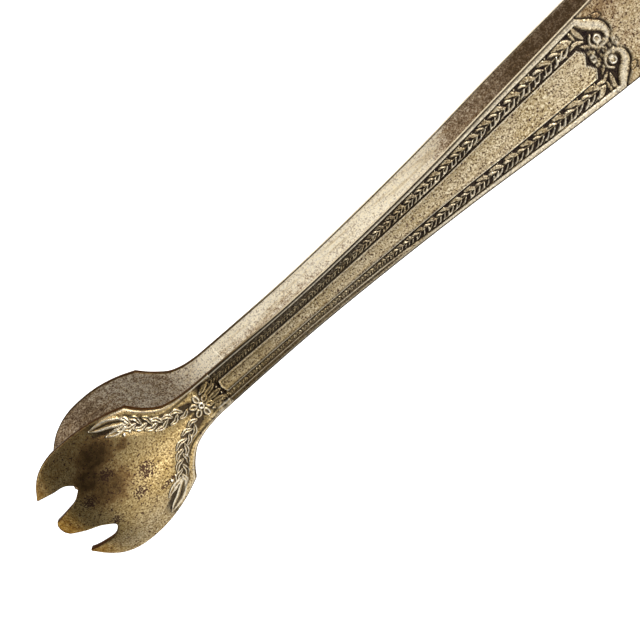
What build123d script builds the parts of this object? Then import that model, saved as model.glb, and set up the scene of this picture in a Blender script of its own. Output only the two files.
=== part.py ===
from build123d import *
import math
import os

# Ice tongs in one struck strip of silver plate: a round spring bow, two long tapered arms and two
# domed three-tine claws.  Millimetres, Z up.  X runs along the tongs from the bow to the claws,
# Y across the strip, and the two arms mirror each other in the plane Z = 0.

# ---- driving dimensions ----
SHEET = 1.6                 # thickness of the strip over its raised edges
BOW_RADIUS = 6.9            # middle of the strip in the bow, centred on the origin
BOW_HALF_WIDTH = 9.6
MIDDLE_X = 81.05            # halfway along the tongs; the saved parts have their origin here
STRAIGHT_END_X = 36.0       # the arm is flat from the bow to here
ARM_SPREAD = math.radians(3.6)          # each arm leans outward by this much at the bow
NECK_X = 126.0              # the arm ends and the claw begins here
SHEET_HALF_WIDTH = 16.0     # the claw is cut from a domed sheet this wide
DOME_RADIUS = 24.0          # across the claw
FLAT_RADIUS = 400.0         # across the neck, as good as flat
DOME_START_X = 128.0
DOME_FULL_X = 142.0
BAND_DEPTH = 0.35           # the two bands sunk in the outer face of each arm
BAND_START_X = 33.0
BAND_END_X = 124.5
BAND_INNER, BAND_OUTER = 0.42, 0.84     # as shares of the half width
PRISM_HEIGHT = 30.0         # taller than any part; outlines are cut with prisms this high

# Height of the upper arm's outer face: straight from the bow, then easing parallel and in a little
# at the neck.
BOW_OUTER = BOW_RADIUS + SHEET / 2.0
ARM_START = (0.0, BOW_OUTER)
STRAIGHT_END = (STRAIGHT_END_X, BOW_OUTER + STRAIGHT_END_X * math.tan(ARM_SPREAD))
ARM_EASE = [STRAIGHT_END, (60.0, 10.55), (84.0, 10.8), (108.0, 10.65), (NECK_X, 10.2)]

# Half width of the arm along its length, narrowing in a slow curve.
ARM_PLAN = [(0.0, BOW_HALF_WIDTH), (14.0, 9.45), (30.0, 8.4), (48.0, 7.05), (67.0, 5.4),
            (86.0, 4.3), (105.0, 3.7), (NECK_X, 3.9)]

# Height of the claw's outer face along its middle: a short rise, a dome, and tines that curl in.
CLAW_SIDE = [(NECK_X, 10.2), (131.0, 10.4), (135.0, 11.3), (140.0, 13.0), (146.0, 15.1),
             (152.0, 16.5), (158.0, 16.6), (163.0, 15.3), (167.0, 12.9), (171.0, 9.6)]

# Half outline of the claw: the neck flares to a corner, then the rounded side runs to the tine.
FLARE = [(NECK_X, 3.9), (131.0, 4.05), (134.5, 4.5), (137.0, 5.3), (139.0, 6.75), (141.0, 8.75),
         (142.1, 10.2)]
CLAW_SIDE_EDGE = [(142.1, 10.2), (146.0, 11.65), (151.0, 12.8), (156.0, 13.15), (160.0, 12.9),
                  (164.0, 11.6), (166.5, 9.85), (168.3, 8.0)]
OUTER_TINE_END = (168.75, 7.5)
OUTER_TINE_TIP = (168.5, 7.3)
OUTER_TINE_SIDE = (164.0, 7.15)
OUTER_TINE_ROOT = (160.0, 6.65)
NOTCH_BOTTOM = (158.6, 5.4)
MIDDLE_TINE_ROOT = (160.2, 4.0)
MIDDLE_TINE_SIDE = (165.0, 2.6)
MIDDLE_TINE_EDGE = (168.6, 1.8)
MIDDLE_TINE_SHOULDER = (169.5, 0.95)
MIDDLE_TINE_TIP = (169.8, 0.0)


def mirrored(points):
    """The same outline on the other side of the X axis, walked backwards."""
    return [(x, -y) for x, y in reversed(points)]


def arm_half_width(x):
    """Half width of the arm at x, straight between the points of its plan."""
    for (x0, w0), (x1, w1) in zip(ARM_PLAN, ARM_PLAN[1:]):
        if x <= x1:
            return w0 + (w1 - w0) * (x - x0) / (x1 - x0)
    return ARM_PLAN[-1][1]


def claw_crown(x):
    """Radius of the sheet across the claw at x: flat at the neck, domed past the shoulder."""
    share = min(max((x - DOME_START_X) / (DOME_FULL_X - DOME_START_X), 0.0), 1.0)
    share = share * share * (3.0 - 2.0 * share)
    return 1.0 / ((1.0 - share) / FLAT_RADIUS + share / DOME_RADIUS)


def arm_layer(top, bottom):
    """The arm's side profile between two depths below its outer face, as wide as the bow."""
    lean = (math.cos(ARM_SPREAD), math.sin(ARM_SPREAD))
    level = (1.0, 0.0)
    upper = [(x, z - top) for x, z in ARM_EASE]
    lower = [(x, z - bottom) for x, z in ARM_EASE]
    upper_start = (ARM_START[0], ARM_START[1] - top)
    lower_start = (ARM_START[0], ARM_START[1] - bottom)
    with BuildSketch(Plane.XZ) as side:
        with BuildLine():
            Line(upper_start, upper[0])
            Spline(*upper, tangents=[lean, level])
            Line(upper[-1], lower[-1])
            Spline(*lower, tangents=[lean, level])
            Line(lower[0], lower_start)
            Line(lower_start, upper_start)
        make_face()
    return extrude(side.sketch, amount=BOW_HALF_WIDTH + 1.0, both=True)


def arm_plan_prism():
    """The arm's tapered outline, seen from above, as a tall prism."""
    other = mirrored(ARM_PLAN)
    with BuildSketch() as plan:
        with BuildLine():
            Spline(*ARM_PLAN)
            Line(ARM_PLAN[-1], other[0])
            Spline(*other)
            Line(other[-1], ARM_PLAN[0])
        make_face()
    return extrude(plan.sketch, amount=PRISM_HEIGHT)


def band_prism(side):
    """Outline of one sunk band beside the arm's middle panel, as a tall prism."""
    def share_of_width(share):
        between = [x for x, _ in ARM_PLAN if BAND_START_X < x < BAND_END_X]
        stations = [BAND_START_X] + between + [BAND_END_X]
        return [(x, side * share * arm_half_width(x)) for x in stations]
    near = share_of_width(BAND_INNER)
    far = share_of_width(BAND_OUTER)[::-1]
    with BuildSketch() as plan:
        with BuildLine():
            Spline(*near)
            Line(near[-1], far[0])
            Spline(*far)
            Line(far[-1], near[0])
        make_face()
    return extrude(plan.sketch, amount=PRISM_HEIGHT)


def shank():
    """The upper arm from the end of the bow to the neck, with its two sunk bands."""
    arm = arm_layer(0.0, SHEET) & arm_plan_prism()
    skin = arm_layer(-1.0, BAND_DEPTH)
    for side in (-1, 1):
        arm -= skin & band_prism(side)
    return arm


def sheet_section(x, height, slope):
    """One slice across the claw's domed sheet, thicker upright where it slopes steeply in X."""
    radius = claw_crown(x)
    drop = radius - math.sqrt(radius ** 2 - SHEET_HALF_WIDTH ** 2)
    depth = SHEET * math.sqrt(1.0 + slope ** 2)
    plane = Plane(origin=(x, 0.0, 0.0), x_dir=(0.0, 1.0, 0.0), z_dir=(1.0, 0.0, 0.0))
    left, right = -SHEET_HALF_WIDTH, SHEET_HALF_WIDTH
    with BuildSketch(plane) as section:
        with BuildLine():
            ThreePointArc((left, height - drop), (0.0, height), (right, height - drop))
            Line((right, height - drop), (right, height - drop - depth))
            ThreePointArc((right, height - drop - depth), (0.0, height - depth),
                          (left, height - drop - depth))
            Line((left, height - drop - depth), (left, height - drop))
        make_face()
    return section.sketch


def domed_sheet():
    """The claw's sheet before its outline is cut."""
    sections = []
    last = len(CLAW_SIDE) - 1
    for i, (x, z) in enumerate(CLAW_SIDE):
        before = CLAW_SIDE[max(i - 1, 0)]
        after = CLAW_SIDE[min(i + 1, last)]
        slope = (after[1] - before[1]) / (after[0] - before[0])
        if i == 0:
            slope = 0.0
        sections.append(sheet_section(x, z, slope))
    return loft(sections)


def claw_plan_prism():
    """The claw's outline with its three tines, seen from above, as a tall prism."""
    with BuildSketch() as plan:
        with BuildLine():
            Line((NECK_X, 0.0), FLARE[0])
            Spline(*FLARE, tangents=[(1.0, 0.0), (0.5, 1.0)])
            Spline(*CLAW_SIDE_EDGE, tangents=[(1.0, 0.8), (0.4, -1.0)])
            ThreePointArc(CLAW_SIDE_EDGE[-1], OUTER_TINE_END, OUTER_TINE_TIP)
            Spline(OUTER_TINE_TIP, OUTER_TINE_SIDE, OUTER_TINE_ROOT, NOTCH_BOTTOM,
                   MIDDLE_TINE_ROOT, MIDDLE_TINE_SIDE, MIDDLE_TINE_EDGE,
                   tangents=[(-1.0, -0.1), (1.0, -0.5)])
            Spline(MIDDLE_TINE_EDGE, MIDDLE_TINE_SHOULDER, MIDDLE_TINE_TIP,
                   tangents=[(1.0, -0.5), (0.0, -1.0)])
            Line(MIDDLE_TINE_TIP, (NECK_X, 0.0))
        make_face()
        mirror(about=Plane.XZ)
    return extrude(plan.sketch, amount=PRISM_HEIGHT)


def claw():
    """The upper claw: the domed sheet cut to the outline."""
    return domed_sheet() & claw_plan_prism()


def bow():
    """The half turn that joins the two arms and works as their spring."""
    outer = BOW_OUTER
    inner = BOW_OUTER - SHEET
    with BuildSketch(Plane.XZ) as side:
        with BuildLine():
            ThreePointArc((0.0, outer), (-outer, 0.0), (0.0, -outer))
            Line((0.0, -outer), (0.0, -inner))
            ThreePointArc((0.0, -inner), (-inner, 0.0), (0.0, inner))
            Line((0.0, inner), (0.0, outer))
        make_face()
    return extrude(side.sketch, amount=BOW_HALF_WIDTH, both=True)


def save(shape, node):
    """Write one node, named, as a single closed solid."""
    solid = Pos(-MIDDLE_X, 0.0, 0.0) * shape.solids()[0]
    solid.label = node
    export_step(solid, f"parts/{node}.step")


os.makedirs("parts", exist_ok=True)
upper_shank = shank()
upper_claw = claw()
save(bow(), "spring_bow")
save(upper_shank, "upper_shank")
save(upper_claw, "upper_claw")
save(upper_shank.mirror(Plane.XY), "lower_shank")
save(upper_claw.mirror(Plane.XY), "lower_claw")
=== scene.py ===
import bpy
import math
import numpy as np
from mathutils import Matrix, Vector
from mathutils.geometry import delaunay_2d_cdt


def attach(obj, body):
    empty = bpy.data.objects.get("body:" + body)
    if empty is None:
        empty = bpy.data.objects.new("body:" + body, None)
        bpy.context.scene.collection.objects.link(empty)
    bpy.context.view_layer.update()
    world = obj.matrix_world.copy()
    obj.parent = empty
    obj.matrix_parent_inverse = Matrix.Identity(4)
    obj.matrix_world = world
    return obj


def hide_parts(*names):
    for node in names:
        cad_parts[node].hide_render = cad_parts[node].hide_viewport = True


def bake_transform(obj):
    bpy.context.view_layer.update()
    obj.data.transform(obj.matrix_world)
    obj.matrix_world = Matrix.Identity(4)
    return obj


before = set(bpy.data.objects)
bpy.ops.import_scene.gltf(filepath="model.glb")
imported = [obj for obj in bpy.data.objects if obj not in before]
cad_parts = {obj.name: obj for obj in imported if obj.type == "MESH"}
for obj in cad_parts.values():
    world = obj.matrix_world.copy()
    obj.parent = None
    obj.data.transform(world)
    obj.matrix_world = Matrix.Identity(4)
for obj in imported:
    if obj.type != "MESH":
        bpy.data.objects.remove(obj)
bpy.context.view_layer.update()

# The tongs are one struck strip of silver plate.  Each function below builds one stretch of the
# strip as a closed mesh with its ornament as real relief.  Shapes are worked out in millimetres
# with X measured from the centre of the bow, then moved into the frame, in metres.
MM = 0.001
BOW_TO_ORIGIN = 81.05       # the bow's centre lies this far behind the frame's origin
SHEET = 1.6
BOW_OUTER = 7.7
NECK_X = 126.0              # the arm ends and the claw begins here
SHOULDER_X = 131.0          # the neck widens into the claw from here
CLAW_END_X = 169.8
EDGE_ROUND = 0.3            # rounding of the strip's edges
TIP_REACH, TIP_SHARE = 1.2, 0.25        # near an outer tip it shrinks to this share
FLAT_RADIUS = 400.0         # across the neck, as good as flat
DOME_RADIUS = 24.0          # across the claw
DOME_START_X, DOME_FULL_X = 128.0, 142.0
FINE, MEDIUM, COARSE = 0.15, 0.5, 0.7   # distance between vertices at the relief and away from it
SAME_PLACE = 1e-6           # points closer than this are one point
UPPER, LOWER = 1, -1

ARM_PLAN = [(0.0, 9.6), (14.0, 9.45), (30.0, 8.4), (48.0, 7.05), (67.0, 5.4), (86.0, 4.3),
            (105.0, 3.7), (NECK_X, 3.9)]
STRIP_SIDE = [(0.0, BOW_OUTER), (1.0, 7.715), (3.5, 7.9), (6.0, 8.077), (18.0, 8.832),
              (36.0, 9.965), (60.0, 10.55), (84.0, 10.8), (108.0, 10.65), (NECK_X, 10.2),
              (SHOULDER_X, 10.4), (135.0, 11.3), (140.0, 13.0), (146.0, 15.1), (152.0, 16.5),
              (158.0, 16.6), (163.0, 15.3), (167.0, 12.9), (171.0, 9.6)]
FLARE = [(NECK_X, 3.9), (SHOULDER_X, 4.05), (134.5, 4.5), (137.0, 5.3), (139.0, 6.75),
         (141.0, 8.75), (142.1, 10.2)]
CLAW_EDGE = [(142.1, 10.2), (146.0, 11.65), (151.0, 12.8), (156.0, 13.15), (160.0, 12.9),
             (164.0, 11.6), (166.5, 9.85), (168.3, 8.0)]
OUTER_TIP = [(168.3, 8.0), (168.65, 7.6), (168.5, 7.3)]
NOTCH = [(168.5, 7.3), (164.0, 7.15), (160.0, 6.65), (158.6, 5.4), (160.2, 4.0), (165.0, 2.6),
         (168.6, 1.8)]
MIDDLE_TIP = [(168.6, 1.8), (169.5, 0.95), (CLAW_END_X, 0.0)]

# Heights of the relief, in millimetres below the raised rims.
PLAIN, PANEL, GROUND = -0.10, -0.14, -0.42
RIM_SHARE, RIM_WIDTH = 0.14, 0.045      # the raised rim narrows with the arm
DOUBLE_RIM_WIDTH = 0.65                 # added to it near the neck, on one side
BAND_START_X = 33.0                     # the sunk bands begin here, at the scroll
BAND_FIRST_LEAF_X, BAND_LAST_LEAF_X = 35.1, 128.5
BRACKET_X, BRACKET_DEPTH, BRACKET_HALF_WIDTH = 33.7, 1.15, 1.8      # the panel's end at the scroll
PANEL_END_X = 125.8                     # and at the flower
SHOULDER_GROOVE = 0.62                  # from the edge of the neck to the line cut along it


# ---- curves and blends ----

def smooth(share):
    """A soft step: 0 below 0, 1 above 1."""
    share = np.clip(share, 0.0, 1.0)
    return share * share * (3.0 - 2.0 * share)


def through(points):
    """A smooth height or width through (x, value) points, as a function of x."""
    xs, ys = np.array(points, float).T
    slopes = np.gradient(ys, xs)

    def value(x):
        x = np.asarray(x, float)
        i = np.clip(np.searchsorted(xs, x) - 1, 0, len(xs) - 2)
        span = xs[i + 1] - xs[i]
        t = (x - xs[i]) / span
        start = ys[i] * (1 + 2 * t) * (1 - t) ** 2 + slopes[i] * span * t * (1 - t) ** 2
        end = ys[i + 1] * t * t * (3 - 2 * t) + slopes[i + 1] * span * t * t * (t - 1)
        return start + end
    return value


def curve(points, count):
    """Count points along a smooth curve through the given ones, evenly spaced."""
    p = np.array(points, float)
    along = np.r_[0.0, np.cumsum(np.linalg.norm(np.diff(p[:, :2], axis=0), axis=1))]
    fine = np.linspace(0.0, along[-1], count)
    return np.stack([through(list(zip(along, column)))(fine) for column in p.T], axis=1)


arm_width = through(ARM_PLAN)
neck_width = through(FLARE)
strip_height = through(STRIP_SIDE)


def banded_width(x):
    """Half width of the strip where it carries its border: the arm and the neck of the claw."""
    return np.where(x < NECK_X, arm_width(x), neck_width(np.clip(x, NECK_X, SHOULDER_X)))


def panel_edge(half):
    """Distance from the middle of the strip to the bead line round its panel."""
    return half * (0.335 + 0.06 * smooth((half - 4.6) / 2.4))


def double_rim(half, y):
    """1 where the strip is narrow, on the side where its rim is wide and grooved, else 0."""
    return smooth((5.0 - half) / 0.9) * (np.asarray(y) > 0.0)


def rim_inner(half, y):
    """Distance from the middle of the strip to the inner edge of its raised rim."""
    return half * (1.0 - RIM_SHARE) - RIM_WIDTH - DOUBLE_RIM_WIDTH * double_rim(half, y)


def leaf_stem(half, y):
    """Distance from the middle of the strip to the leaves' stem, halfway across their band."""
    return (rim_inner(half, y) + panel_edge(half)) / 2.0


def dome_drop(x, y):
    """How far the outer face falls from its middle line: nothing on the arm, a dome on the claw."""
    share = smooth((x - DOME_START_X) / (DOME_FULL_X - DOME_START_X))
    radius = 1.0 / ((1.0 - share) / FLAT_RADIUS + share / DOME_RADIUS)
    drop = radius - np.sqrt(np.maximum(radius ** 2 - y ** 2, 0.0))
    return np.where(x < NECK_X, 0.0, drop)


# ---- struck relief ----

class Relief:
    """Raised strokes over a ground: each vertex keeps the highest thing struck on it.

    halo is 1 beside a stroke's foot and fades away from it, where the hollows' dark patina and
    painted shade gather.
    """

    def __init__(self, x, y):
        self.x = x
        self.y = y
        self.height = np.zeros_like(x)
        self.halo = np.zeros_like(x)

    def strike(self, chosen, height, q):
        """Raise the chosen vertices; q is the distance from the middle, 1 at the foot."""
        self.height[chosen] = np.maximum(self.height[chosen], height)
        halo = np.exp(-(np.maximum(q - 1.0, 0.0) / 0.55) ** 2)
        self.halo[chosen] = np.maximum(self.halo[chosen], halo)

    def stroke(self, path, top, count=14, vein=0.0, vein_width=0.24, flat=0.5):
        """A rounded ridge along a path of (x, y, half width).

        A small flat gives it a flatter top, and vein sinks a line down its middle.
        """
        p = curve(path, count)
        margin = 2.2 * p[:, 2].max()
        low = p[:, :2].min(axis=0) - margin
        high = p[:, :2].max(axis=0) + margin
        boxed = (self.x > low[0]) & (self.x < high[0]) & (self.y > low[1]) & (self.y < high[1])
        near = np.nonzero(boxed)[0]
        if len(near) == 0:
            return
        d = np.hypot(self.x[near, None] - p[None, :, 0], self.y[near, None] - p[None, :, 1])
        q = (d / np.maximum(p[None, :, 2], 1e-3)).min(axis=1)
        if vein:
            flat = min(flat, 0.3)
        body = top * np.clip(1.0 - q ** 2, 0.0, 1.0) ** flat
        if vein:
            body -= vein * np.exp(-(q / vein_width) ** 2) * (q < 1.0)
        self.strike(near, body, q)

    def leaf(self, base, tip, half_width, top, bend=0.0, vein=0.12, vein_width=0.24):
        """A pointed leaf with a sunk middle."""
        base, tip = np.array(base, float), np.array(tip, float)
        along = tip - base
        side = np.array([-along[1], along[0]]) * bend
        middle = (base + tip) / 2.0 + side
        path = [(*base, 0.30 * half_width),
                (*(base * 0.62 + middle * 0.38), 0.80 * half_width),
                (*middle, half_width),
                (*(tip * 0.55 + middle * 0.45), 0.72 * half_width),
                (*tip, 0.10 * half_width)]
        steps = 4 + int(np.linalg.norm(along) / (0.3 * half_width))
        self.stroke(path, top, count=steps, vein=vein, vein_width=vein_width)

    def boss(self, centre, radius, top):
        """A small round boss."""
        near = np.nonzero(np.hypot(self.x - centre[0], self.y - centre[1]) < 2.2 * radius)[0]
        q = np.hypot(self.x[near] - centre[0], self.y[near] - centre[1]) / radius
        self.strike(near, top * np.sqrt(np.clip(1.0 - q ** 2, 0.0, 1.0)), q)

    def ring(self, centre, radius, half_width, top):
        """A round raised line."""
        turns = np.linspace(0.0, 2.0 * math.pi, 13)
        path = [(centre[0] + radius * math.cos(t), centre[1] + radius * math.sin(t), half_width)
                for t in turns]
        self.stroke(path, top, count=60)


SCROLL = [(32.3, 8.6, 0.40), (31.5, 7.2, 0.66), (30.5, 5.95, 0.92), (29.3, 4.85, 0.98),
          (28.3, 3.7, 0.82), (28.05, 2.55, 0.64), (28.6, 1.55, 0.50), (29.7, 0.98, 0.40),
          (30.9, 1.18, 0.34), (31.7, 2.05, 0.31), (31.65, 3.05, 0.28), (30.95, 3.75, 0.24)]
SCROLL_EDGE = [(0.0, 28.0), (0.8, 28.3), (1.6, 27.7), (2.6, 27.2), (3.6, 27.3), (4.6, 28.2),
               (5.8, 29.6), (7.0, 30.6), (8.6, 31.8), (9.8, 32.6)]
SCROLL_EYE = (30.25, 2.5)


def scroll_ornament(relief):
    """The broken scroll across the wide end of the bands, with its eyes, leaves and small buds."""
    relief.stroke(SCROLL, 0.37, count=110, flat=0.16)
    relief.ring(SCROLL_EYE, 0.64, 0.25, 0.46)
    relief.boss(SCROLL_EYE, 0.42, 0.38)
    relief.leaf((32.2, 4.2), (32.9, 7.6), 0.52, 0.38, bend=-0.06, vein=0.2)
    relief.leaf((33.6, 5.0), (33.9, 7.3), 0.34, 0.34)
    relief.leaf((32.5, 3.7), (35.6, 4.1), 0.34, 0.36, bend=0.16)
    relief.leaf((34.2, 5.2), (36.8, 6.7), 0.50, 0.36, vein=0.16)
    relief.leaf((28.6, 6.2), (27.1, 5.4), 0.46, 0.32)
    relief.ring((27.9, 0.0), 0.50, 0.20, 0.38)
    relief.boss((29.1, 0.0), 0.36, 0.36)
    relief.ring((30.3, 0.0), 0.34, 0.17, 0.38)
    relief.boss((31.4, 0.45), 0.30, 0.34)
    relief.ring((32.9, 0.0), 0.50, 0.19, 0.40)
    relief.leaf((31.9, 0.8), (33.6, 1.7), 0.28, 0.34)
    relief.leaf((32.2, 2.3), (33.5, 3.3), 0.26, 0.34)


def leaf_band(relief, side):
    """Laurel along one sunk band, pointing at the claw: broad leaves and berries along one side
    of the stem, slim ones along the other.  The cutter's hand shows: no two leaves are quite alike.
    """
    hand = np.random.default_rng(7 + side)
    x = BAND_FIRST_LEAF_X
    while x < BAND_LAST_LEAF_X:
        half = float(banded_width(x))
        band = float(rim_inner(half, side) - panel_edge(half))
        stem = side * float(leaf_stem(half, side))
        wear = 0.20 if side < 0 else 0.07
        top = 0.44 - wear * float(smooth((x - 68.0) / 30.0))

        def at(ahead, across):
            return x + ahead * band, stem + across * band

        for start, reach, rise, half_width, dip in ((0.0, 0.84, 0.36, 0.130, 0.24),
                                                    (0.58, 0.56, 0.20, 0.075, 0.10)):
            slip, swing, swell = hand.uniform(-1.0, 1.0, 3)
            tip = at(start + reach + 0.10 * slip, -rise - 0.04 * swing)
            relief.leaf(at(start, -0.03), tip, (half_width + 0.012 * swell) * band, top,
                        bend=-0.10, vein=dip, vein_width=0.55)
        for start in (0.02, 0.40, 0.78):
            slip, swing, swell = hand.uniform(-1.0, 1.0, 3)
            tip = at(start + 0.64 + 0.16 * slip, 0.37 + 0.05 * swing)
            relief.leaf(at(start, 0.03), tip, (0.062 + 0.020 * swell) * band, top,
                        bend=0.12 + 0.08 * swing)
        slip, swing = hand.uniform(-0.05, 0.05, 2)
        relief.boss(at(0.16 + slip, -0.38), 0.062 * band, top)
        relief.boss(at(0.42 + swing, 0.40), 0.055 * band, top)
        x += 1.13 * band
    stem_x = np.linspace(BAND_FIRST_LEAF_X - 0.5, BAND_LAST_LEAF_X, 12)
    stem_path = [(s, side * float(leaf_stem(banded_width(s), side)), 0.09) for s in stem_x]
    relief.stroke(stem_path, 0.26, count=900)


def line_at(distance, width):
    """A thin line: 1 on it, fading to 0 over its width."""
    return np.exp(-(distance / width) ** 2)


def banding(x, y, half, ground):
    """The strip's border worked over a ground: raised rim, sunk band, bead line, middle panel."""
    across = np.abs(y)
    bracket = BRACKET_X + BRACKET_DEPTH * np.abs(across / BRACKET_HALF_WIDTH - 1.0)
    into_panel = np.minimum(panel_edge(half) - across, (x - bracket) * 0.8)
    into_panel = np.minimum(into_panel, PANEL_END_X - 0.3 * across - x)
    into_rim = across - rim_inner(half, y)
    beside = np.maximum(line_at(into_panel + 0.27, 0.13), line_at(into_rim + 0.16, 0.11))
    ground = ground - (ground - GROUND) * beside
    panel = smooth(into_panel / 0.16 + 0.5)
    crown = 0.05 * (1.0 - np.clip(across / panel_edge(half), 0.0, 1.0) ** 2)
    height = ground * (1.0 - panel) + (PANEL + crown) * panel
    bead_line = line_at(into_panel, 0.14)
    height = np.maximum(height, (PANEL + 0.15) * bead_line + GROUND * (1.0 - bead_line))
    height = height - 0.08 * line_at(into_panel - 0.34, 0.11)
    from_edge = half - across
    rim = smooth(into_rim / 0.12 + 0.5)
    groove = double_rim(half, y) * line_at(from_edge - 0.74, 0.24)
    rim_top = -0.05 * smooth((0.5 - from_edge) / 0.5) - 0.36 * groove
    return height * (1.0 - rim) + rim_top * rim


def patina_and_shade_of(height):
    """Dark tarnish in the hollows, with painted shade there too: 1 on the ground, 0 on what stands
    up to be rubbed.
    """
    return smooth((-0.13 - height) / 0.20)


def rub_and_highlight_of(height):
    """What stands highest is rubbed bright, and carries a painted highlight."""
    return smooth((height + 0.10) / 0.10)


def beyond_scroll(x, across):
    """1 on the plain end of the arm, 0 past the outline of the scroll."""
    edge = through(SCROLL_EDGE)(np.minimum(across, SCROLL_EDGE[-1][0]))
    return smooth((edge - x) / 0.18 + 0.5)


def arm_relief(x, y):
    """Height, dark patina with painted shade, and rubbing with painted highlights of the arm's
    outer face: rims, bead lines, panel, leaves, scroll.
    """
    half = arm_width(x)
    across = np.abs(y)
    scroll = Relief(x, across)
    scroll_ornament(scroll)
    rosette(scroll)
    leaves = Relief(x, y)
    for side in (-1, 1):
        leaf_band(leaves, side)
    ground = GROUND + np.maximum(scroll.height, leaves.height)
    height = banding(x, y, half, ground)
    height = np.where(x < BAND_START_X, np.maximum(height, ground), height)

    beyond = beyond_scroll(x, across)
    outline = scroll.halo * (1.0 - smooth(scroll.height / 0.15))
    height = height * (1.0 - beyond) + np.maximum(PLAIN - 0.30 * outline, ground) * beyond
    into_rim = across - rim_inner(half, y)
    # painted highlight: a bright line along the inner edge of the raised rim, and over the wide
    # grooved rim
    rim_rub_and_highlight = 0.32 + 0.45 * np.maximum(line_at(into_rim - 0.20, 0.13), double_rim(half, y))
    rub = rub_and_highlight_of(height) * np.where(into_rim > 0.0, rim_rub_and_highlight, 1.0)
    # painted shade: a dark line just inside the strip's edge
    corner_shade = 0.85 * line_at(half - across - 0.27, 0.10)
    # the hollows' darkening fades towards the claw, much more on the +y side
    hollow_fade = 1.0 - 0.45 * smooth((x - 78.0) / 26.0) * np.where(y > 0.0, 1.0, 0.3)
    return height, np.maximum(patina_and_shade_of(height) * hollow_fade, corner_shade), rub


ROSETTE = (131.2, 0.0)
PETALS = 6
PETAL_START, PETAL_END, ROSETTE_REACH = 1.05, 2.25, 2.4
GARLAND = [(133.3, 1.3), (135.3, 1.95), (137.1, 2.5), (139.0, 3.45), (140.9, 5.2), (142.8, 7.0),
           (144.7, 8.6), (147.0, 10.0), (150.3, 11.4)]


def rosette(relief):
    """The flower at the neck, with a bunch of leaves pointing back along the arm."""
    for base, tip, half_width in (((129.4, 0.0), (126.2, 0.0), 0.56),
                                  ((129.6, 1.0), (126.5, 1.6), 0.52),
                                  ((130.0, 1.9), (127.2, 2.8), 0.44)):
        relief.leaf(base, tip, half_width, 0.46, vein=0.32, vein_width=0.45)
    relief.boss((126.6, 0.78), 0.22, 0.42)
    for i in range(PETALS):
        turn = 2.0 * math.pi * (i + 0.5) / PETALS
        near, far = [(ROSETTE[0] + reach * math.cos(turn), reach * math.sin(turn))
                     for reach in (PETAL_START, PETAL_END)]
        relief.leaf(near, far, 0.68, 0.38, vein=0.30, vein_width=0.45)
    relief.ring(ROSETTE, 0.46, 0.24, 0.46)


def garland(relief):
    """Leaves along the shoulder of the claw, ending in one large leaf, with a bead inside it."""
    hand = np.random.default_rng(11)
    line = curve(GARLAND, 60)
    for k, i in enumerate(range(1, 39, 3)):
        here = line[i]
        ahead = line[i + 1] - line[i - 1]
        ahead = ahead / np.linalg.norm(ahead)
        outward = np.array([-ahead[1], ahead[0]])
        side = 1 if k % 2 else -1
        slip, swing = hand.uniform(-1.0, 1.0, 2)
        tip = here + ahead * (2.5 + 0.4 * slip) + outward * side * (0.95 + 0.2 * swing)
        relief.leaf(here, tip, 0.42, 0.43, bend=0.16 * side, vein=0.33, vein_width=0.5)
    relief.boss((139.6, 5.0), 0.24, 0.38)
    relief.boss((136.2, 1.3), 0.20, 0.38)
    relief.leaf((143.2, 8.2), (149.9, 11.5), 0.95, 0.45, bend=0.06, vein=0.36, vein_width=0.55)
    relief.leaf((143.2, 7.6), (148.0, 8.7), 0.56, 0.43, bend=-0.06, vein=0.32, vein_width=0.5)
    relief.boss((145.0, 6.6), 0.36, 0.46)
    relief.boss((143.9, 6.3), 0.24, 0.38)


def distance_to(line, x, across):
    """How far each point is from a line given as points close together."""
    nearest = np.full(len(x), np.inf)
    for px, py in line:
        nearest = np.minimum(nearest, np.hypot(x - px, across - py))
    return nearest


def garland_distance(x, across):
    """How far each point of the claw is from the middle line of its garland and flower."""
    stalk = [(127.0, 0.0), (129.0, 0.0), ROSETTE]
    return distance_to(np.vstack([curve(GARLAND, 40), stalk]), x, across)


def ornament_distance(x, across):
    """The same, taking in the bead and leaf beside the garland's end."""
    beside = distance_to([(145.5, 6.6), (147.0, 8.6)], x, across)
    return np.minimum(garland_distance(x, across), beside)


def shoulder_distance(x, across):
    """How far each point of the claw is from the edge of its neck and shoulder."""
    return distance_to(np.vstack([curve(FLARE, 60), curve(CLAW_EDGE[:4], 40)]), x, across)


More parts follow.
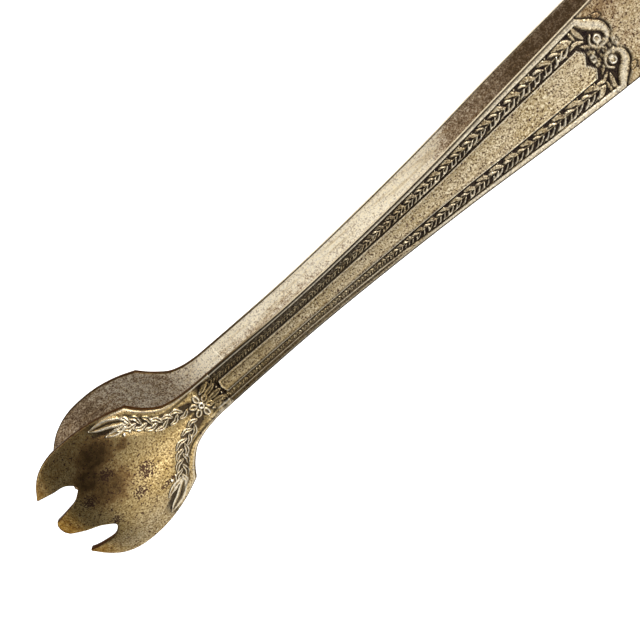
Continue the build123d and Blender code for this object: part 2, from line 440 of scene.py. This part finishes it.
def claw_relief(x, y):
    """Height, dark patina with painted shade, and rubbing with painted highlights of the claw's
    outer face; the neck's border runs out on the dome.
    """
    across = np.abs(y)
    ornament = Relief(x, across)
    rosette(ornament)
    garland(ornament)
    leaves = Relief(x, y)
    for side in (-1, 1):
        leaf_band(leaves, side)
    run_out = smooth((x - 129.0) / 3.5)
    flower = ROSETTE_REACH - np.hypot(x - ROSETTE[0], across)
    around_flower = smooth(flower / 0.5)
    ground = GROUND + np.maximum(leaves.height * (1.0 - around_flower), ornament.height)
    neck = banding(x, y, banded_width(x), ground)
    neck = np.maximum(neck, GROUND + ornament.height)

    from_edge = shoulder_distance(x, across)
    groove_at = SHOULDER_GROOVE + 0.75 * smooth((x - SHOULDER_X) / 9.0)
    along_shoulder = 1.0 - smooth((x - 143.0) / 6.0)
    groove = line_at(from_edge - groove_at, 0.20) * along_shoulder
    from_garland = garland_distance(x, across)
    bed = smooth((2.3 - from_garland) / 1.4) * smooth((151.0 - x) / 4.0)
    bed = bed * smooth((from_edge - groove_at) / 0.3)
    dome = -0.18 * groove - 0.16 * bed + ornament.height
    height = neck * (1.0 - run_out) + dome * run_out
    low = 1.0 - smooth((ornament.height - 0.10) / 0.14)
    beside = smooth((1.5 - from_garland) / 0.5) * smooth((151.5 - x) / 3.0)
    # painted shade: dark ground round the flower and beside the garland, and in the shoulder groove
    crease_shade = np.maximum(0.92 * low * np.maximum(beside, around_flower), 0.8 * groove)
    grime = patina_and_shade_of(height) * (1.0 - run_out) + crease_shade * run_out
    # crest and shoulder: the ornament's rubbed tops and a bright line along the shoulder's edge,
    # both partly painted highlight
    crest = smooth((ornament.height - 0.22) / 0.10)
    shoulder_highlight = 0.6 * line_at(from_edge - 0.25, 0.20) * along_shoulder
    rub = rub_and_highlight_of(height) * (1.0 - run_out) + np.maximum(crest, shoulder_highlight) * run_out
    return height, grime, rub


def blot(x, y, centre, reach):
    """A soft round or oval patch: 1 in the middle, 0 past its reach."""
    return smooth(1.25 - np.hypot((x - centre[0]) / reach[0], (y - centre[1]) / reach[1]))


def claw_tarnish_and_shade(x, y):
    """Where the claw has gone brown: one broad smooth stain to one side, mottling past it; painted
    shade darkens the tips and the -y side.
    """
    browning = np.maximum(blot(x, y, (151.8, -7.6), (5.6, 3.6)),
                       blot(x, y, (155.8, -5.0), (4.4, 3.4)))
    mottle = np.maximum(0.80 * blot(x, y, (153.8, -1.6), (6.4, 4.6)),
                        0.75 * blot(x, y, (146.8, -5.6), (2.2, 1.2)))
    # painted shade: darker towards the tips and down the -y side
    shaded_tips = 0.50 * smooth((x - 160.0) / 7.0)
    side = 0.25 * smooth((-y - 6.0) / 4.0)
    return np.max([browning, mottle, shaded_tips, side], axis=0)


def bowl_darkening(x, y):
    """The inside of the claw: darker all over, more so towards its tips and at its root."""
    root = 0.12 * blot(x, y, (141.0, -5.0), (4.0, 3.0))
    return 0.42 * smooth((x - SHOULDER_X) / 9.0) + 0.38 * smooth((x - 148.0) / 9.0) + root


def gilding(x, y):
    """The plate turns more golden from the end of the arm to the claw, less so down one side."""
    return smooth((x - 100.0) / 36.0) * (1.0 - 0.6 * smooth((y - 6.0) / 5.0))


def claw_pits_and_shade(x, y):
    """Corroded spots, and painted shade in the hollow inside the right-hand garland."""
    spots_and_shade = [((146.6, 1.2), (2.3, 2.1)), ((150.2, 3.6), (2.0, 1.4)), ((157.6, 4.4), (1.4, 1.1)),
             ((145.6, 6.3), (2.2, 0.7)), ((159.0, -1.6), (2.0, 1.4)), ((152.6, -3.6), (2.0, 1.6))]
    return 0.78 * np.max([blot(x, y, centre, reach) for centre, reach in spots_and_shade], axis=0)


# ---- meshes ----

def is_cut_end(face, points):
    """Whether a face closes the strip where two pieces meet; its edges stay sharp."""
    return len(face) > 4 or all(abs(points[v][0] - NECK_X) < SAME_PLACE for v in face)


def make_piece(name, points, faces, fields, side):
    """A mesh object from millimetre points; the lower pieces are the upper ones mirrored."""
    points = np.array(points, float)
    rounded = [not is_cut_end(face, points) for face in faces]
    points[:, 0] -= BOW_TO_ORIGIN
    points[:, 2] *= side
    if side == LOWER:
        faces = [face[::-1] for face in faces]
    mesh = bpy.data.meshes.new(name)
    mesh.from_pydata((points * MM).tolist(), [], faces)
    for key, values in fields.items():
        attribute = mesh.attributes.new(key, "FLOAT", "POINT")
        attribute.data.foreach_set("value", np.asarray(values, np.float32))
    mesh.polygons.foreach_set("use_smooth", rounded)
    mesh.update()
    piece = bpy.data.objects.new(name, mesh)
    bpy.context.collection.objects.link(piece)
    return piece


def edge_profile():
    """The strip's rounded edge from its outer to its inner face: (inset, depth) pairs."""
    turn = np.radians([30.0, 60.0, 90.0])
    upper = [(EDGE_ROUND * (1 - math.sin(t)), EDGE_ROUND * (1 - math.cos(t))) for t in turn]
    lower = [(inset, SHEET - depth) for inset, depth in reversed(upper)]
    return upper + lower


def across_columns(half):
    """Distances from the middle of the arm's lengthwise rows of vertices, one set per station:
    close together at the bead line and the rim, which keep their width as the arm tapers.
    """
    line = panel_edge(half)
    flat_half = half - EDGE_ROUND
    stretches = [(0.0 * half, line - 0.5, 6), (line - 0.5, line + 0.25, 9),
                 (line + 0.25, flat_half - 0.62, 23), (flat_half - 0.62, flat_half, 8)]
    runs = [start[:, None] + (end - start)[:, None] * np.arange(count) / count
            for start, end, count in stretches]
    rows = np.concatenate(runs + [flat_half[:, None]], axis=1)
    return np.concatenate([-rows[:, :0:-1], rows], axis=1)


def loop_strip(name, stations, section, side):
    """A closed strip from one section per station: section gives points and surface fields."""
    points, fields = section(stations)
    rows, columns = points.shape[:2]
    index = np.arange(rows * columns).reshape(rows, columns)
    a = index[:-1, :]
    b = index[1:, :]
    quads = np.stack([a, b, np.roll(b, -1, axis=1), np.roll(a, -1, axis=1)], axis=-1)
    faces = quads.reshape(-1, 4).tolist()
    faces.append(index[0, :].tolist())
    faces.append(index[-1, ::-1].tolist())
    fields = {key: values.ravel() for key, values in fields.items()}
    return make_piece(name, points.reshape(-1, 3), faces, fields, side)


def edge_columns(half, height, outer, sign):
    """The rounded edge of the strip at each station, from the outer to the inner face."""
    columns = []
    for inset, depth in edge_profile():
        z = height + outer * (1.0 - depth / SHEET) - depth
        columns.append((sign * (half - inset), z))
    return columns if sign > 0 else columns[::-1]


EDGE_COLUMNS, INNER_COLUMNS = (1, 3), (2,)      # of four runs: outer face, edge, inner face, edge
EDGE_SHADE = (0.9, 1.0, 0.1, 0.1, 1.0, 0.9)     # round the edge: painted shade, black on the corners, none on the flat
# painted shade round the claw's edge
CLAW_EDGE_SHADE = (0.5, 1.0, 0.9, 0.9, 1.0, 0.5)


def band_of(grid, counts, chosen, value=1.0):
    """A field that has a value on the chosen runs of columns, 1 by default, and 0 elsewhere."""
    values = np.zeros(grid.shape)
    starts = np.r_[0, np.cumsum(counts)]
    for run in chosen:
        values[:, starts[run]:starts[run + 1]] = value
    return values


def neck_edge_shade(x):
    """Painted shade on the flat of the edge, growing towards the claw, where it is black."""
    return 0.9 * smooth((x - 96.0) / 30.0)


def inner_painted_shade(x, y):
    """Painted shade on the arm's inner face, where the other arm and the bow shade it: brown from
    the bow to a slanting line, then grey down one side.
    """
    slant = x - 0.9 * y
    brown = 0.66 * smooth((70.0 - slant) / 7.0) + 0.34 * smooth((56.0 - slant) / 12.0)
    return brown + 0.34 * smooth((y + 2.6) / 2.4) * smooth((x - 76.0) / 34.0)


def arm_fields(x, y, counts, grime, rub):
    """The arm's surface fields; the dark patina-and-shade and the rub-and-highlight values are
    given for its outer face only.
    """
    outer = counts[0]
    rest = ((0, 0), (0, x.shape[1] - outer))
    inner_side = band_of(x, counts, INNER_COLUMNS)
    edge_side = band_of(x, counts, EDGE_COLUMNS)
    plain = beyond_scroll(x[:, :outer] + 0.4, np.abs(y[:, :outer]))
    worn_end = blot(x[:, :outer], y[:, :outer], (26.0, -6.6), (5.5, 2.8)) * plain
    # painted shade round the edge: black on its corners, and on its flat towards the claw
    edge_shade = band_of(x, counts, EDGE_COLUMNS, EDGE_SHADE)
    edge_shade = np.maximum(edge_shade, edge_side * neck_edge_shade(x))
    outer_tarnish = np.pad(0.20 * plain + 0.28 * worn_end, rest)
    return {"grime": np.pad(grime, rest) + edge_shade,
            # painted highlight on the flat of the edge, where it is not painted dark
            "rub": np.pad(rub, rest) + 0.6 * (edge_side - edge_shade),
            "pits": np.pad(0.10 + 0.18 * worn_end, rest) - 0.2 * inner_side,
            "tarnish": inner_side * inner_painted_shade(x, y) + outer_tarnish,
            "inner": inner_side,
            "gold": gilding(x, y) * (1.0 - inner_side)}


def arm_section(x):
    """Points round the arm at each x: outer face, edge, inner face, edge."""
    half = arm_width(x)
    base = strip_height(x)
    y_grid = across_columns(half)
    columns = y_grid.shape[1]
    x_grid = np.repeat(x[:, None], columns, axis=1)
    relief = arm_relief(x_grid.ravel(), y_grid.ravel())
    top, grime, rub = [values.reshape(x_grid.shape) for values in relief]
    right = edge_columns(half, base, top[:, -1], 1)
    left = edge_columns(half, base, top[:, 0], -1)
    inner = [(share * (half - EDGE_ROUND), base - SHEET) for share in np.linspace(1.0, -1.0, 21)]
    ys = [y_grid] + [y[:, None] for y, z in right + inner + left]
    zs = [base[:, None] + top] + [z[:, None] for y, z in right + inner + left]
    y_all = np.concatenate(ys, axis=1)
    z_all = np.concatenate(zs, axis=1)
    x_all = np.repeat(x[:, None], y_all.shape[1], axis=1)

    counts = [columns, len(right), len(inner), len(left)]
    fields = arm_fields(x_all, y_all, counts, grime, rub)
    return np.stack([x_all, y_all, z_all], axis=-1), fields


def build_arm(name, side):
    """One arm, with rows close together except on its plain end."""
    plain_end, plain_step = 26.0, 0.65
    stations = np.r_[np.arange(0.0, plain_end, plain_step),
                     np.arange(plain_end, NECK_X, FINE), NECK_X]
    return loop_strip(name, stations, arm_section, side)


def bow_section(angles):
    """Points round the bow's strip at each angle from its back: the same section, bent round."""
    half = float(arm_width(0.0))
    across = np.linspace(EDGE_ROUND - half, half - EDGE_ROUND, 25)
    outer = [(y, PLAIN) for y in across]
    right = [(half - inset, PLAIN * (1 - depth / SHEET) - depth) for inset, depth in edge_profile()]
    inner = [(y, -SHEET) for y in reversed(across)]
    left = [(-y, z) for y, z in reversed(right)]
    ring = np.array(outer + right + inner + left)
    radius = BOW_OUTER + ring[:, 1]
    a = angles[:, None]
    x = -radius[None, :] * np.cos(a)
    z = radius[None, :] * np.sin(a)
    y = np.repeat(ring[None, :, 0], len(angles), axis=0)
    counts = [len(outer), len(right), len(inner), len(left)]
    inner_side = band_of(x, counts, INNER_COLUMNS)
    blank = np.zeros(x.shape)
    edge_side = band_of(x, counts, EDGE_COLUMNS)
    # painted shade, black round the edges, with a painted highlight on the edge's flat
    edge_shade = band_of(x, counts, EDGE_COLUMNS, EDGE_SHADE)
    fields = {"grime": edge_shade, "rub": 0.6 * (edge_side - edge_shade),
              # painted shade: the bow's inner face is brown all over
              "pits": 0.10 + blank, "tarnish": inner_side, "inner": inner_side, "gold": blank}
    return np.stack([x, y, z], axis=-1), fields


def build_bow_half(name, side):
    """Half of the bow, from the middle of its back to the arm."""
    angles = np.linspace(0.0, math.pi / 2.0, 41)
    return loop_strip(name, angles, bow_section, side)


def claw_outline():
    """The claw's outline, clockwise from the neck as seen from above, points close together."""
    runs = [(FLARE, 70), (CLAW_EDGE, 130), (OUTER_TIP, 10), (NOTCH, 130), (MIDDLE_TIP, 14)]
    half = np.concatenate([curve(points, count)[:-1] for points, count in runs])
    half = np.vstack([half, [(CLAW_END_X, 0.0)]])
    other = half[-2::-1] * (1.0, -1.0)
    return np.vstack([half, other])


def inset_loop(loop, distance):
    """The outline moved inwards, less at the sharp outer tips; the neck's end stays in place."""
    ahead = np.roll(loop, -1, axis=0) - np.roll(loop, 1, axis=0)
    ahead[0] = loop[1] - loop[0]
    ahead[-1] = loop[-1] - loop[-2]
    ahead /= np.linalg.norm(ahead, axis=1)[:, None]
    inward = np.stack([ahead[:, 1], -ahead[:, 0]], axis=1)
    at_neck = loop[:, 0] < NECK_X + SAME_PLACE
    inward[at_neck, 0] = 0.0
    from_tip = distance_to([OUTER_TIP[1]], loop[:, 0], np.abs(loop[:, 1]))
    share = np.clip(from_tip / TIP_REACH, TIP_SHARE, 1.0)
    return loop + inward * distance * share[:, None]


def inside(loop, x, y):
    """Which points lie inside the outline."""
    result = np.zeros(len(x), bool)
    for (x0, y0), (x1, y1) in zip(loop, np.roll(loop, -1, axis=0)):
        crosses = (y0 > y) != (y1 > y)
        if y0 != y1:
            result ^= crosses & (x < (x1 - x0) * (y - y0) / (y1 - y0) + x0)
    return result


def hexagonal(spacing, low, high):
    """Points of a triangular lattice over a rectangle."""
    rows = np.arange(low[1], high[1], spacing * math.sqrt(0.75))
    columns = np.arange(low[0], high[0], spacing)
    x, y = np.meshgrid(columns, rows)
    x = x + (np.arange(len(rows)) % 2)[:, None] * spacing / 2.0
    return np.stack([x.ravel(), y.ravel()], axis=1)


def lattice_inside(loop, fine, coarse):
    """Points within a loop: close together at the ornament, wider apart on the plain dome."""
    low, high = loop.min(axis=0), loop.max(axis=0)
    lattices = []
    for spacing, nearest, farthest in ((fine, -1.0, 2.3), (2.0 * fine, 2.3, 3.2),
                                       (coarse, 3.2, math.inf)):
        lattice = hexagonal(spacing, low, high)
        distance = ornament_distance(lattice[:, 0], np.abs(lattice[:, 1]))
        keep = (distance > nearest) & (distance <= farthest)
        lattices.append(lattice[keep])
    lattice = np.vstack(lattices)
    margin = 0.10
    lattice = lattice[inside(inset_loop(loop, margin), lattice[:, 0], lattice[:, 1])]
    return lattice[lattice[:, 0] > NECK_X + margin / 2.0]


def fill(loop, fine, coarse):
    """Points and triangles that fill a loop; the loop's own points come first."""
    points = np.vstack([loop, lattice_inside(loop, fine, coarse)])
    edges = [(i, (i + 1) % len(loop)) for i in range(len(loop))]
    found = delaunay_2d_cdt([Vector(p) for p in points], edges, [], 0, SAME_PLACE, False)
    points = np.array([tuple(v) for v in found[0]])
    triangles = np.array([list(face) for face in found[2]])
    centres = points[triangles].mean(axis=1)
    kept = inside(loop, centres[:, 0], centres[:, 1])
    return points, triangles[kept].tolist()


def sheet_steepness(x):
    """How much longer an upright cut through the claw's sheet is than its thickness."""
    step = 0.5
    slope = (strip_height(x + step) - strip_height(x - step)) / (2.0 * step)
    return np.sqrt(1.0 + slope ** 2)


def sheet_height(x, y):
    """Height of the strip's outer face without its relief."""
    return strip_height(x) - dome_drop(x, y)


def claw_edge_rings(outline, top):
    """Loops of points round the claw's rounded edge, from its outer to its inner face."""
    rings = []
    for inset, depth in edge_profile():
        loop = inset_loop(outline, inset)
        z = sheet_height(loop[:, 0], loop[:, 1]) + top * (1.0 - depth / SHEET)
        z = z - depth * sheet_steepness(loop[:, 0])
        rings.append(np.column_stack([loop, z]))
    return rings


def claw_fields(points, first_edge, first_inner, outer_fields):
    """The claw's surface fields; points run outer face, edge, inner face."""
    x, y = points[:, 0], points[:, 1]
    rest = (0, len(points) - first_edge)
    grime, rub, pits = [np.pad(values, rest) for values in outer_fields]
    inner_side = (np.arange(len(points)) >= first_inner).astype(float)
    per_ring = (first_inner - first_edge) // len(CLAW_EDGE_SHADE)
    grime[first_edge:first_inner] = np.repeat(CLAW_EDGE_SHADE, per_ring)
    tarnish = np.where(inner_side > 0.5, bowl_darkening(x, y), claw_tarnish_and_shade(x, y))
    return {"grime": grime, "rub": rub, "pits": pits, "tarnish": tarnish, "inner": inner_side,
            "gold": gilding(x, y) * (1.0 - inner_side)}


def build_claw(name, side):
    """One claw: filled outer and inner faces joined by a rounded edge."""
    outline = claw_outline()
    rim = inset_loop(outline, EDGE_ROUND)
    outer, outer_faces = fill(rim, FINE, MEDIUM)
    inner, inner_faces = fill(rim, COARSE, COARSE)
    count = len(rim)
    top, grime, rub = claw_relief(outer[:, 0], outer[:, 1])
    pits = claw_pits_and_shade(outer[:, 0], outer[:, 1])
    z_outer = sheet_height(outer[:, 0], outer[:, 1]) + top
    z_inner = sheet_height(inner[:, 0], inner[:, 1]) - SHEET * sheet_steepness(inner[:, 0])
    rings = claw_edge_rings(outline, top[:count])
    points = np.vstack([np.column_stack([outer, z_outer]), *rings,
                        np.column_stack([inner, z_inner])])

    starts = [0] + [len(outer) + k * count for k in range(len(rings) + 1)]
    faces = list(outer_faces)
    for above, below in zip(starts[:-1], starts[1:]):
        for i in range(count):
            j = (i + 1) % count
            faces.append([above + i, above + j, below + j, below + i])
    faces += [[v + starts[-1] for v in reversed(face)] for face in inner_faces]
    fields = claw_fields(points, starts[1], starts[-1], (grime, rub, pits))
    return make_piece(name, points, faces, fields, side)


# ---- materials ----

SILVER = (0.56, 0.445, 0.275, 1.0)
WARM = (0.48, 0.36, 0.18, 1.0)
BRIGHT = (0.95, 0.84, 0.60, 1.0)
GOLDEN = (0.83, 0.74, 0.53, 1.0)        # multiplies the silver towards the claws
PALE = (0.95, 0.90, 0.77, 1.0)          # the inner faces
# rubbed bright metal, also used for painted highlights
RUBBED_AND_HIGHLIGHT = (0.95, 0.88, 0.72, 1.0)
# browns for tarnish and for painted shade
RUSTY_AND_SHADE = (0.24, 0.125, 0.042, 1.0)
TARNISHED_AND_SHADE = (0.085, 0.050, 0.020, 1.0)
# dark pits, also the painted shade in one hollow of the garland
PITTED_AND_SHADE = (0.070, 0.034, 0.024, 1.0)
# black for patina and painted shade in the hollows and on the edges
DARK_PATINA_AND_SHADE = (0.016, 0.010, 0.010, 1.0)
SHEEN = (0.34, 0.30, 0.25, 1.0)
FLOOR_PAINT = (0.95, 0.95, 0.95, 1.0)
WHITE = (1.0, 1.0, 1.0, 1.0)


def node(tree, kind, **sockets):
    """A shader node with constants on its sockets."""
    made = tree.nodes.new(kind)
    for key, value in sockets.items():
        made.inputs[key.replace("_", " ")].default_value = value
    return made


def noise(tree, source, scale, detail=4.0, roughness=0.6):
    """Cloudy noise around 0.5; a larger scale makes smaller clouds."""
    made = node(tree, "ShaderNodeTexNoise", Scale=scale, Detail=detail, Roughness=roughness)
    tree.links.new(source, made.inputs["Vector"])
    return made.outputs["Fac"]


def stretch(tree, source, scale):
    """Coordinates scaled along each axis."""
    made = tree.nodes.new("ShaderNodeMapping")
    made.inputs["Scale"].default_value = scale
    tree.links.new(source, made.inputs["Vector"])
    return made.outputs["Vector"]


def ramp(tree, source, low, high, start=0.0, end=1.0):
    """Value remapped and clamped."""
    made = tree.nodes.new("ShaderNodeMapRange")
    made.inputs["From Min"].default_value = low
    made.inputs["From Max"].default_value = high
    made.inputs["To Min"].default_value = start
    made.inputs["To Max"].default_value = end
    tree.links.new(source, made.inputs["Value"])
    return made.outputs["Result"]


def mix(tree, factor, first, second, blend="MIX"):
    """Two colours mixed; each may be a constant or a socket."""
    made = tree.nodes.new("ShaderNodeMix")
    made.data_type = "RGBA"
    made.blend_type = blend
    for key, value in ((0, factor), (6, first), (7, second)):
        if isinstance(value, bpy.types.NodeSocket):
            tree.links.new(value, made.inputs[key])
        else:
            made.inputs[key].default_value = value
    return made.outputs[2]


def maths(tree, operation, first, second, clamp=True):
    """Arithmetic on two values, each a constant or a socket; clamped, it stays within 0 to 1."""
    made = tree.nodes.new("ShaderNodeMath")
    made.operation = operation
    made.use_clamp = clamp
    for key, value in ((0, first), (1, second)):
        if isinstance(value, bpy.types.NodeSocket):
            tree.links.new(value, made.inputs[key])
        else:
            made.inputs[key].default_value = value
    return made.outputs[0]


def field(tree, name):
    """A number stored on the mesh's vertices."""
    made = tree.nodes.new("ShaderNodeAttribute")
    made.attribute_name = name
    return made.outputs["Fac"]


def add(tree, first, second):
    """The sum of two values, which may pass outside 0 and 1."""
    return maths(tree, "ADD", first, second, clamp=False)


def old_silver():
    """Worn silver plate: sandy grain, warm patches, brown stains, black patina in the hollows;
    painted shade in the hollows, on the edges and on the inner faces, and painted highlights on
    what stands up.
    """
    material = bpy.data.materials.new("old_silver_plate")
    material.use_nodes = True
    tree = material.node_tree
    shader = tree.nodes["Principled BSDF"]
    shader.inputs["Specular IOR Level"].default_value = 0.25
    shader.inputs["Specular Tint"].default_value = SHEEN
    place = tree.nodes.new("ShaderNodeTexCoord").outputs["Object"]
    gold = field(tree, "gold")
    inner = field(tree, "inner")

    grain = noise(tree, place, 2900.0, 3.0, 0.6)
    mottle = noise(tree, place, 900.0, 4.0, 0.6)
    patches = noise(tree, place, 170.0, 5.0, 0.62)
    streaks = noise(tree, stretch(tree, place, (90.0, 1500.0, 1500.0)), 1.0, 4.0, 0.6)

    surface = mix(tree, ramp(tree, patches, 0.40, 0.64), SILVER, WARM)
    surface = mix(tree, maths(tree, "MULTIPLY", inner, 0.85), surface, PALE)
    surface = mix(tree, ramp(tree, grain, 0.50, 0.34, 0.0, 0.85), surface, BRIGHT)
    sandy = ramp(tree, inner, 0.0, 1.0, 1.0, 0.30)
    sand = maths(tree, "MULTIPLY", ramp(tree, grain, 0.52, 0.66, 0.0, 0.80), sandy)
    surface = mix(tree, sand, surface, TARNISHED_AND_SHADE)
    surface = mix(tree, ramp(tree, streaks, 0.50, 0.68, 0.0, 0.55), surface, WARM)
    surface = mix(tree, gold, surface, GOLDEN, "MULTIPLY")

    # brown and dark mixes: tarnish, and the painted shade carried in the same field
    browning = add(tree, field(tree, "tarnish"), ramp(tree, mottle, 0.30, 0.70, -0.25, 0.25))
    freckles = ramp(tree, grain, 0.36, 0.64, -0.30, 0.30)
    browning = add(tree, browning, maths(tree, "MULTIPLY", inner, freckles, clamp=False))
    surface = mix(tree, ramp(tree, browning, 0.05, 0.60, 0.0, 0.75), surface, RUSTY_AND_SHADE)
    surface = mix(tree, ramp(tree, browning, 0.45, 1.05, 0.0, 0.92), surface, TARNISHED_AND_SHADE)
    # dark pits, with painted shade in the hollow inside the garland
    spots_and_shade = add(tree, field(tree, "pits"), ramp(tree, grain, 0.36, 0.64, -0.90, 0.22))
    spots_and_shade = ramp(tree, spots_and_shade, 0.05, 0.25, 0.0, 0.92)
    dots = noise(tree, place, 1900.0, 2.0, 0.5)
    stray = maths(tree, "MULTIPLY", ramp(tree, dots, 0.62, 0.68), sandy)
    spots_and_shade = maths(tree, "MAXIMUM", spots_and_shade, stray)
    surface = mix(tree, spots_and_shade, surface, PITTED_AND_SHADE)
    # rubbed tops brightened, partly as painted highlight
    surface = mix(tree, maths(tree, "MULTIPLY", field(tree, "rub"), 0.80), surface, RUBBED_AND_HIGHLIGHT)
    # black patina and painted shade in the hollows and round the edges
    hollow = maths(tree, "MULTIPLY", field(tree, "grime"), ramp(tree, grain, 0.62, 0.46, 0.82, 1.0))
    surface = mix(tree, hollow, surface, DARK_PATINA_AND_SHADE)
    tree.links.new(surface, shader.inputs["Base Color"])

    tree.links.new(ramp(tree, inner, 0.0, 1.0, 1.0, 0.58), shader.inputs["Metallic"])
    polish = ramp(tree, gold, 0.0, 1.0, 0.48, 0.34)
    roughness = add(tree, polish, ramp(tree, grain, 0.35, 0.68, -0.08, 0.10))
    tree.links.new(roughness, shader.inputs["Roughness"])

    bump = node(tree, "ShaderNodeBump", Strength=0.8, Distance=0.00007)
    tree.links.new(mix(tree, 0.35, grain, mottle), bump.inputs["Height"])
    tree.links.new(bump.outputs["Normal"], shader.inputs["Normal"])
    return material


# ---- the object ----

plate = old_silver()

for side, where in ((UPPER, "upper"), (LOWER, "lower")):
    body = where + "_arm"
    arm = build_arm(where + "_shank_struck", side)
    arm.data.materials.append(plate)
    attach(arm, body)
    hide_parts(where + "_shank")
    claw = build_claw(where + "_claw_struck", side)
    claw.data.materials.append(plate)
    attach(claw, body)
    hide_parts(where + "_claw")
    half_bow = build_bow_half(where + "_bow_half", side)
    half_bow.data.materials.append(plate)
    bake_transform(half_bow)
    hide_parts("spring_bow")


# ---- floor, light and camera ----

FLOOR_Z, FLOOR_REACH = -32.0, 12000.0   # in mm; clear of the lower claw when the tongs are open
DARK_SIDE, BRIGHT_SIDE = 0.14, 1.14     # strength of the surrounding light
LIGHT_DISTANCE = 0.6                    # in metres, as are the lights' sizes


def build_floor():
    """A wide pale floor below the tongs."""
    mesh = bpy.data.meshes.new("floor")
    corners = [(-1, -1), (1, -1), (1, 1), (-1, 1)]
    reach = FLOOR_REACH * MM
    mesh.from_pydata([(x * reach, y * reach, FLOOR_Z * MM) for x, y in corners], [], [(0, 1, 2, 3)])
    floor = bpy.data.objects.new("floor", mesh)
    bpy.context.collection.objects.link(floor)
    material = bpy.data.materials.new("pale_floor")
    material.use_nodes = True
    shader = material.node_tree.nodes["Principled BSDF"]
    shader.inputs["Base Color"].default_value = FLOOR_PAINT
    shader.inputs["Roughness"].default_value = 0.9
    shader.inputs["Emission Color"].default_value = WHITE
    shader.inputs["Emission Strength"].default_value = 1.0
    mesh.materials.append(material)


def build_world():
    """Even white light, dimmer on one side so that the metal has something to reflect."""
    world = bpy.data.worlds.new("studio")
    bpy.context.scene.world = world
    world.use_nodes = True
    tree = world.node_tree
    sky = tree.nodes["Background"]
    direction = tree.nodes.new("ShaderNodeTexCoord").outputs["Generated"]
    lean = tree.nodes.new("ShaderNodeVectorMath")
    lean.operation = "DOT_PRODUCT"
    lean.inputs[1].default_value = (-0.43, 0.68, 0.60)
    tree.links.new(direction, lean.inputs[0])
    sky.inputs["Color"].default_value = WHITE
    level = ramp(tree, lean.outputs["Value"], 0.38, 0.90, DARK_SIDE, BRIGHT_SIDE)
    tree.links.new(level, sky.inputs["Strength"])


def area_light(name, direction, size, power):
    """A square soft light looking at the object from a direction."""
    data = bpy.data.lights.new(name, "AREA")
    data.shape = "SQUARE"
    data.size = size
    data.energy = power
    light = bpy.data.objects.new(name, data)
    bpy.context.collection.objects.link(light)
    away = Vector(direction).normalized()
    light.location = away * LIGHT_DISTANCE
    light.rotation_euler = away.to_track_quat("Z", "Y").to_euler()


def build_camera():
    """Looks down on the upper arm, with the claws at the lower left of the frame."""
    data = bpy.data.cameras.new("camera")
    data.sensor_width = 36.0
    data.lens = 61.633
    data.clip_start = 0.01
    camera = bpy.data.objects.new("camera", data)
    bpy.context.collection.objects.link(camera)
    camera.location = (-0.00792, -0.04885, 0.21178)
    camera.rotation_euler = [math.radians(turn) for turn in (-16.0831, -3.5133, 138.2376)]
    bpy.context.scene.camera = camera


build_floor()
build_world()
area_light("key", (-0.22, 0.44, 0.87), size=0.20, power=0.22)
area_light("side", (-0.62, -0.62, 0.48), size=0.35, power=3.6)
build_camera()
bpy.context.scene.view_settings.view_transform = "Standard"
